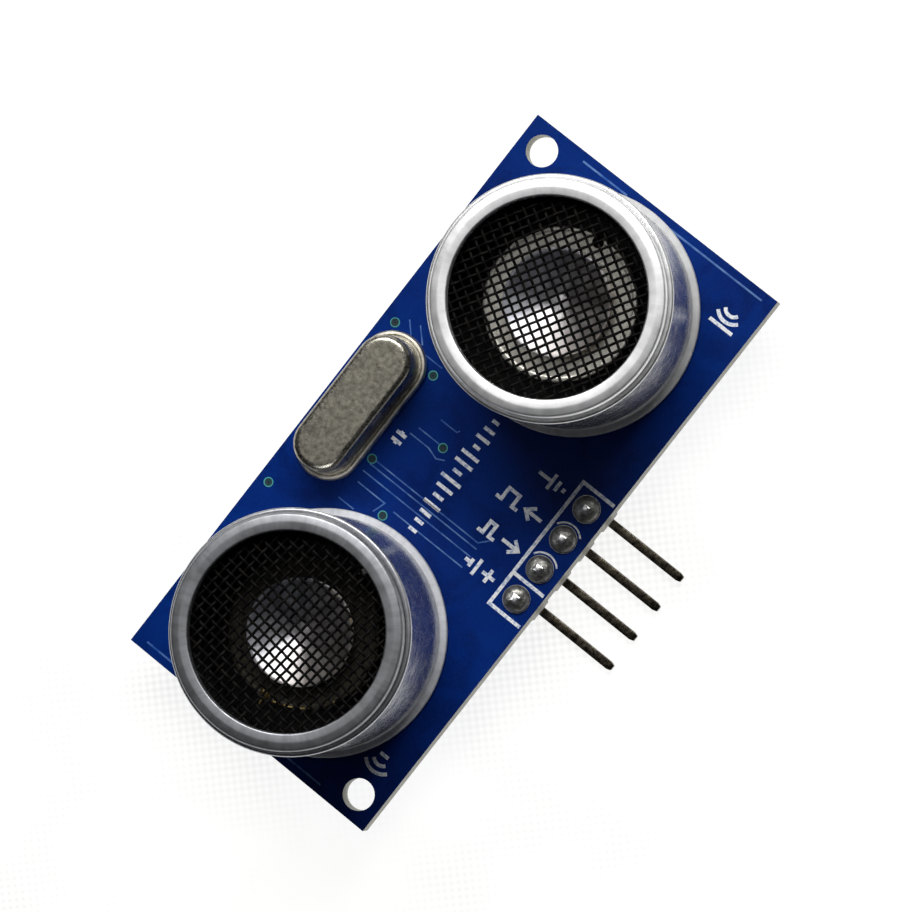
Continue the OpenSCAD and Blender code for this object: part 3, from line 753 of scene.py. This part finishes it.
def make_crystal():
    """Oblong can with a rounded top, on a wider flange that is welded all round."""
    low, high = node_box("crystal_can")
    base_low, base_high = node_box("crystal_base")
    x, y = (low.x + high.x) / 2, (low.y + high.y) / 2
    rise, corner = high.z - low.z, 0.45
    levels = [(0.0, 0.0), (0.0, rise - corner)]
    for turn in (math.radians(a) for a in range(15, 91, 15)):
        levels.append((corner * (1 - math.cos(turn)), rise - corner * (1 - math.sin(turn))))
    levels.append((corner + 0.1, rise))
    make_piece("crystal_cover", oblong(low, high, x, y, levels), [LOOKS["crystal_metal"]],
               ["crystal_can"], 40)

    thick = base_high.z - base_low.z
    levels = [(0.1, 0.0), (0.0, 0.1), (0.0, thick - 0.18), (0.1, thick - 0.04),
              (0.25, thick - 0.02), (0.36, thick - 0.12), (0.46, thick - 0.12), (0.56, thick)]
    make_piece("crystal_flange", oblong(base_low, base_high, x, y, levels), [FLANGE_PAINTED_HIGHLIGHT_LOOK],
               ["crystal_base"], 40)


# ---------------------------------------------------------------- header

PINS = ("power", "trigger", "echo", "ground")
INNER_BEND = 0.55
BEND_STEPS = 8
JOINT_RADIUS = 0.93
JOINT_SWELL = 0.16
JOINT_SEGMENTS = 48


def pin_x(name):
    low, high = node_box(name + "_pin")
    return (low.x + high.x) / 2


def make_pin(name):
    """Square wire, upright through the board and bent out past its edge, with a cut point."""
    low, high = node_box(name + "_pin")
    thick = high.x - low.x
    half, bend = thick / 2, INNER_BEND + thick / 2
    row_y, run_z = high.y - half, low.z + half
    stations = [(row_y, high.z, 0, 0.7), (row_y, high.z - 0.07, 0, 1.0),
                (row_y, BOARD_TOP, 0, 1.0), (row_y, run_z + bend, 0, 1.0)]
    for k in range(1, BEND_STEPS + 1):
        turn = math.radians(90 * k / BEND_STEPS)
        stations.append((row_y - bend * (1 - math.cos(turn)), run_z + bend * (1 - math.sin(turn)),
                         turn, 1.0))
    end = math.pi / 2
    stations += [(low.y + 0.3, run_z, end, 1.0), (low.y + 0.04, run_z, end, 0.74),
                 (low.y, run_z, end, 0.6)]
    outline = rounded_rectangle(thick, thick, 0.07)
    rings = []
    for y, z, turn, scale in stations:
        rings.append([(pin_x(name) + a * scale, y + b * scale * math.cos(turn),
                       z + b * scale * math.sin(turn)) for a, b in outline])
    shape = loft(rings)
    slots = [0] * len(shape[1])
    # The end above the board and its cap take the near-white metal: a painted highlight.
    painted_highlight_faces = 2 * len(outline)  # the two bands above the board, and the cap over them
    slots[:painted_highlight_faces] = [1] * painted_highlight_faces
    slots[-2] = 1
    make_piece(name + "_terminal", shape, [LOOKS["pin_metal"], PIN_END_PAINTED_HIGHLIGHT],
               [name + "_pin"], 35, slots)


def make_housing():
    """Moulded strip of four eight-sided segments, joined side to side."""
    low, high = node_box("header_strip")
    half, corner = (high.y - low.y) / 2, 0.5
    y, flat = (low.y + high.y) / 2, half - corner
    near, far = [], []
    for name in PINS:
        x = pin_x(name)
        near += [(x - half, y - flat), (x - flat, y - half), (x + flat, y - half)]
        far += [(x - flat, y + half), (x + flat, y + half), (x + half, y + flat)]
    last, first = pin_x(PINS[-1]) + half, pin_x(PINS[0]) - half
    outline = near + [(last, y - flat)] + far[::-1] + [(first, y + flat)]
    make_piece("header_housing", slab(outline, low.z, high.z, 0.07), [LOOKS["header_plastic"]],
               ["header_strip"], 30)


def make_front_joints():
    """Domes of solder round the pins, each a little out of true."""
    low, high = node_box("header_solder")
    foot, stem = BOARD_TOP + 0.04, -BOARD_TOP * 0.6
    rise = high.z - foot
    row_y = (low.y + high.y) / 2
    shapes = []
    for number, name in enumerate(PINS):
        section = [(0, stem), (0.45, stem), (0.45, -0.02), (JOINT_RADIUS, -0.02)]
        section += [(JOINT_RADIUS * math.cos(t) ** 0.8, rise * math.sin(t) ** 1.1)
                    for t in (math.radians(a) for a in range(6, 85, 6))]
        section.append((0, rise))
        points, faces = lathe(section, (pin_x(name), row_y, foot), JOINT_SEGMENTS,
                              closed=False)
        uneven = []
        for p in points:
            drift = noise.noise(Vector((p[0] * 1.3 + number * 7, p[1] * 1.3, p[2] * 1.6)))
            lift = 1 + JOINT_SWELL * drift if p[2] > foot else 1
            uneven.append([p[0], p[1], foot + (p[2] - foot) * min(1.0, lift)])
        shapes.append((uneven, faces))
    make_piece("header_joints", joined(shapes), [LOOKS["solder"]], ["header_solder"], 60)


# ---------------------------------------------------------------- board relief and print

TRACK_WIDTH, POUR_WIDTH = 0.11, 0.16
TRACK_RISE = 0.02
PRINT_WIDTH = 0.27
PRINT_RISE = 0.02
PRINT_STEP = 0.002
PRINT_TAPER = 0.12
VIA_SPACING = 1.0


def transmitter_tracks():
    """Tracks that run across the board beside the transmitter, from left to right."""
    return [
        [(-4.45, 1.43), (-4.45, -4.61)],
        [(-4.37, 4.61), (-4.37, 2.25), (-4.9, 2.41), (-5.3, 2.56)],
        [(-3.55, 4.82), (-3.55, -4.61)],
        [(-2.9, 4.71), (-2.9, -4.61)],
        [(-2.5, 4.61), (-2.5, -4.41), (-1.76, -5.09)],
        [(-6.0, 5.02), (-6.0, 3.69)],
    ]


def middle_tracks():
    """Tracks between the crystal and the header, and by the receiver."""
    return [
        [(0.4, 3.83), (0.4, 2.2), (0.14, 1.36), (0.42, 0.8)],
        [(1.05, 3.59), (1.05, 1.79)],
        [(2.4, 2.72), (2.4, 1.33), (2.6, 1.23)],
        [(5.15, 6.35), (5.15, 4.82)],
        [(6.36, 8.63), (5.58, 7.88)],
        [(6.5, 7.79), (5.54, 6.85)],
    ]


def edge_tracks():
    """Edge of the copper pour along the board's two short sides, broken once by the receiver."""
    right, top = BOARD_HIGH.x - 0.6, BOARD_HIGH.y
    return [
        [(right, top - 4.4), (right, top - 8.2)],
        [(right, top - 9.6), (right, BOARD_LOW.y + 0.9)],
        [(-right, BOARD_LOW.y + 4.2), (-right, top - 1.0)],
    ]


def make_tracks():
    """Raised edges of the copper under the mask."""
    low, high = BOARD_TOP - 0.01, BOARD_TOP + TRACK_RISE
    paths = transmitter_tracks() + middle_tracks()
    shapes = [stroke(path, TRACK_WIDTH, low, high) for path in paths]
    shapes += [stroke(path, POUR_WIDTH, low, high) for path in edge_tracks()]
    make_piece("board_tracks", joined(shapes), [TRACK_PAINTED_HIGHLIGHT_LOOK], sharp=20)


def header_frame():
    """Box round the four joints, with a bar after the first."""
    left, right = pin_x("power") - 1.35, pin_x("ground") + 1.3
    bar = (pin_x("power") + pin_x("trigger")) / 2
    near, far = BOARD_LOW.y + 0.16, node_box("header_pads")[1].y + 0.35
    return [
        [(left, near), (left, far), (right, far), (right, near)],
        [(bar, near), (bar, far)],
    ]


def pad_marks():
    """Thin arcs beside the two middle joints."""
    row_y = (node_box("header_pads")[0].y + node_box("header_pads")[1].y) / 2
    return [arc(pin_x(name), row_y, 1.14, -50, 60, 14) for name in ("trigger", "echo")]


def arrow(x, tail, tip):
    """Arrow along Y."""
    back = tip + math.copysign(0.6, tail - tip)
    return [[(x, tail), (x, tip)], [(x - 0.5, back), (x, tip), (x + 0.5, back)]]


def pulse(x, start, width):
    """One square pulse along Y."""
    low, high, lead = x - 0.45, x + 0.45, 0.45
    return [[(low, start), (low, start + lead), (high, start + lead), (high, start + lead + width),
             (low, start + lead + width), (low, start + 2 * lead + width)]]


def pin_signs():
    """What each pin is for: cell and plus, pulse in, pulse out, earth."""
    base = node_box("header_pads")[1].y + 0.95
    plus, into, out, earth = (pin_x(name) for name in PINS)
    plus_y, cell_y, earth_y = base + 0.55, base + 1.55, base + 0.1
    signs = [
        [(plus - 0.5, plus_y), (plus + 0.5, plus_y)],
        [(plus, plus_y - 0.5), (plus, plus_y + 0.5)],
        [(plus - 0.62, cell_y), (plus + 0.62, cell_y)],
        [(plus - 0.3, cell_y + 0.5), (plus + 0.3, cell_y + 0.5)],
        [(plus, cell_y + 0.5), (plus, cell_y + 1.0)],
        [(earth, earth_y + 2.1), (earth, earth_y + 1.05)],
    ]
    for step, half in enumerate((0.16, 0.38, 0.6)):
        signs.append([(earth - half, earth_y + 0.5 * step), (earth + half, earth_y + 0.5 * step)])
    signs += arrow(into, base + 1.35, base) + pulse(into, base + 1.75, 0.5)
    signs += arrow(out, base, base + 1.35) + pulse(out, base + 1.75, 0.9)
    return signs


def wave_sign():
    """Row of bars of uneven length, like a burst of sound, in the middle of the board."""
    bars, left, pitch, middle = 14, -4.55, 0.7, -0.35
    paths = []
    for k in range(bars):
        half = 0.26 + 0.6 * math.sin(math.pi * (k + 0.5) / bars) * abs(math.cos(k * 1.1))
        paths.append([(left + k * pitch, middle - half), (left + k * pitch, middle + half)])
    return paths


def side_signs():
    """Waves that leave the transmitter, and waves that reach the receiver."""
    out_x, in_x, y = BOARD_LOW.x + 4.9, BOARD_HIGH.x - 3.6, BOARD_LOW.y + 2.0
    return [
        [(out_x, y - 0.35), (out_x, y + 0.35)],
        arc(out_x - 0.1, y, 0.65, 130, 230),
        arc(out_x - 0.1, y, 1.2, 130, 230),
        [(in_x, y - 0.95), (in_x, y + 0.95)],
        arc(in_x + 1.5, y, 0.6, 120, 240),
        arc(in_x + 1.5, y, 1.1, 130, 230),
    ]


def crystal_sign():
    """Two plates and a bar, the drawing sign of a crystal."""
    x, y = -0.3, 4.25
    return [
        [(x - 0.5, y), (x - 0.28, y)],
        [(x - 0.28, y - 0.4), (x - 0.28, y + 0.4)],
        [(x + 0.28, y - 0.4), (x + 0.28, y + 0.4)],
        [(x + 0.28, y), (x + 0.5, y)],
    ]


def make_print():
    """White ink on the mask: the header's frame and the signs."""
    low, high = BOARD_TOP - 0.01, BOARD_TOP + PRINT_RISE
    paths = header_frame() + pin_signs() + wave_sign() + side_signs() + crystal_sign()
    shapes = [stroke(path, PRINT_WIDTH, low, high + PRINT_STEP * (i % 4), PRINT_TAPER)
              for i, path in enumerate(paths)]
    shapes += [stroke(path, PRINT_WIDTH / 2, low, high, PRINT_TAPER) for path in pad_marks()]
    make_piece("board_print", joined(shapes), [PRINT_LOOK], sharp=25)


def via_centres():
    """Centre of each via, from the islands of the CAD node's mesh."""
    mesh = frame["nodes"]["vias"].data
    found = []
    for vertex in mesh.vertices:
        here = vertex.co / MM
        near = [cluster for cluster in found if (cluster[0] - here).xy.length < VIA_SPACING]
        if near:
            near[0].append(here)
        else:
            found.append([here])
    centres = []
    for cluster in found:
        xs, ys = [p.x for p in cluster], [p.y for p in cluster]
        centres.append(((min(xs) + max(xs)) / 2, (min(ys) + max(ys)) / 2))
    return sorted(centres)


def make_vias():
    """Plated barrels whose lands are masked, with a thin teal ring at the rim as a painted
    highlight, and the land inside it and the hole painted near-black as shade.
    """
    bore, barrel, ring, land = 0.04, 0.2, 0.27, 0.34
    back, front, rise, sunk = 0.0, BOARD_TOP, 0.03, 0.01
    section = [(bore, back - rise), (barrel, back - rise), (ring, back - rise),
               (land, back - rise), (land, back + sunk), (barrel, back + sunk),
               (barrel, front - sunk), (land, front - sunk), (land, front + rise),
               (ring, front + rise), (barrel, front + rise * 0.7), (bore, front + rise * 0.4)]
    # Bands 2 and 8 take the teal painted highlight; the rest take the painted shade.
    painted_highlight_bands, segments = (2, 8), 32
    shapes, slots = [], []
    for x, y in via_centres():
        shape = lathe(section, (x, y, 0), segments)
        shapes.append(shape)
        slots += [int(i // segments not in painted_highlight_bands) for i in range(len(shape[1]))]
    make_piece("via_lands", joined(shapes), [LOOKS["via_ring"], VIA_PAINTED_SHADE], ["vias"],
               40, slots)


# ---------------------------------------------------------------- CAD nodes that stay

BEVELS = {"chip_plastic": 0.05, "resistor_film": 0.05, "capacitor_ceramic": 0.05,
          "leg_metal": 0.025}
BEVEL_ANGLE = math.radians(30)
WELD_REACH = 1e-6


def dress_cad_nodes():
    """Gives every CAD node its slot's look, and softens the edges of the moulded ones."""
    for part in frame["record"]["subparts"]:
        node, slot = frame["nodes"][part["node"]], part["material_slot"]
        node.data.materials.clear()
        side = part["node"].split("_")[0]
        node.data.materials.append(WIRE_LOOKS[side] if slot == "copper_wire" else LOOKS[slot])
        if slot in BEVELS:
            weld = node.modifiers.new("weld", "WELD")
            weld.merge_threshold = WELD_REACH
            bevel = node.modifiers.new("bevel", "BEVEL")
            bevel.width = BEVELS[slot] * MM
            bevel.segments = 2
            bevel.limit_method = "ANGLE"
            bevel.angle_limit = BEVEL_ANGLE


# ---------------------------------------------------------------- stage

FLOOR_REACH = 900
LIGHT_TARGET = (0, 0, 6)
KEY_LIGHT = {"at": (197, 128, 280), "size": (320, 130), "power": 1.65}
OVERHEAD_LIGHT = {"at": (40, 75, 420), "size": (180, 200), "power": 0.08}
ROOM_STRENGTH = 0.03


def area_light(name, at, size, power):
    """Soft oblong light that faces the sensor. Its place and size are in millimetres."""
    data = bpy.data.lights.new(name, "AREA")
    data.shape = "RECTANGLE"
    data.size, data.size_y = (s * MM for s in size)
    data.energy = power
    light = bpy.data.objects.new(name, data)
    light.location = Vector(at) * MM
    light.rotation_mode = "QUATERNION"
    light.rotation_quaternion = (Vector(LIGHT_TARGET) - Vector(at)).to_track_quat("-Z", "Y")
    bpy.context.scene.collection.objects.link(light)


def room():
    """Dim room round the lights, cool in some directions and warm in others."""
    world = bpy.data.worlds.new("studio")
    world.use_nodes = True
    tree = world.node_tree
    coords = tree.nodes.new("ShaderNodeTexCoord")
    cloud = tree.nodes.new("ShaderNodeTexNoise")
    tint = tree.nodes.new("ShaderNodeValToRGB")
    cloud.inputs["Scale"].default_value = 1.7
    cloud.inputs["Detail"].default_value = 1
    for stop, place, colour in zip(tint.color_ramp.elements, (0.38, 0.62),
                                   ((0.3, 0.24, 0.2, 1), (0.75, 0.9, 1.25, 1))):
        stop.position, stop.color = place, colour
    tree.links.new(coords.outputs["Generated"], cloud.inputs["Vector"])
    tree.links.new(cloud.outputs["Fac"], tint.inputs["Fac"])
    tree.links.new(tint.outputs["Color"], tree.nodes["Background"].inputs["Color"])
    tree.nodes["Background"].inputs["Strength"].default_value = ROOM_STRENGTH
    return world


def make_stage():
    """Pale cloth under the sensor, a wide key light past the receiver, and a dim one above."""
    corners = [(x * FLOOR_REACH, y * FLOOR_REACH, FLOOR_Z)
               for x, y in ((-1, -1), (1, -1), (1, 1), (-1, 1))]
    mesh = bpy.data.meshes.new("floor")
    mesh.from_pydata([[c * MM for c in p] for p in corners], [], [[0, 1, 2, 3]])
    mesh.materials.append(floor_look())
    floor = bpy.data.objects.new("floor", mesh)
    bpy.context.scene.collection.objects.link(floor)

    area_light("key", **KEY_LIGHT)
    area_light("overhead", **OVERHEAD_LIGHT)
    bpy.context.scene.world = room()
    bpy.context.scene.view_settings.view_transform = "Standard"


make_camera()
dress_cad_nodes()
for one_side in SIDES:
    make_can(one_side)
    make_screen(one_side)
    make_cone(one_side)
    make_plate(one_side)
make_painted_glints()
make_crystal()
for pin in PINS:
    make_pin(pin)
make_housing()
make_front_joints()
make_tracks()
make_vias()
make_print()
make_stage()
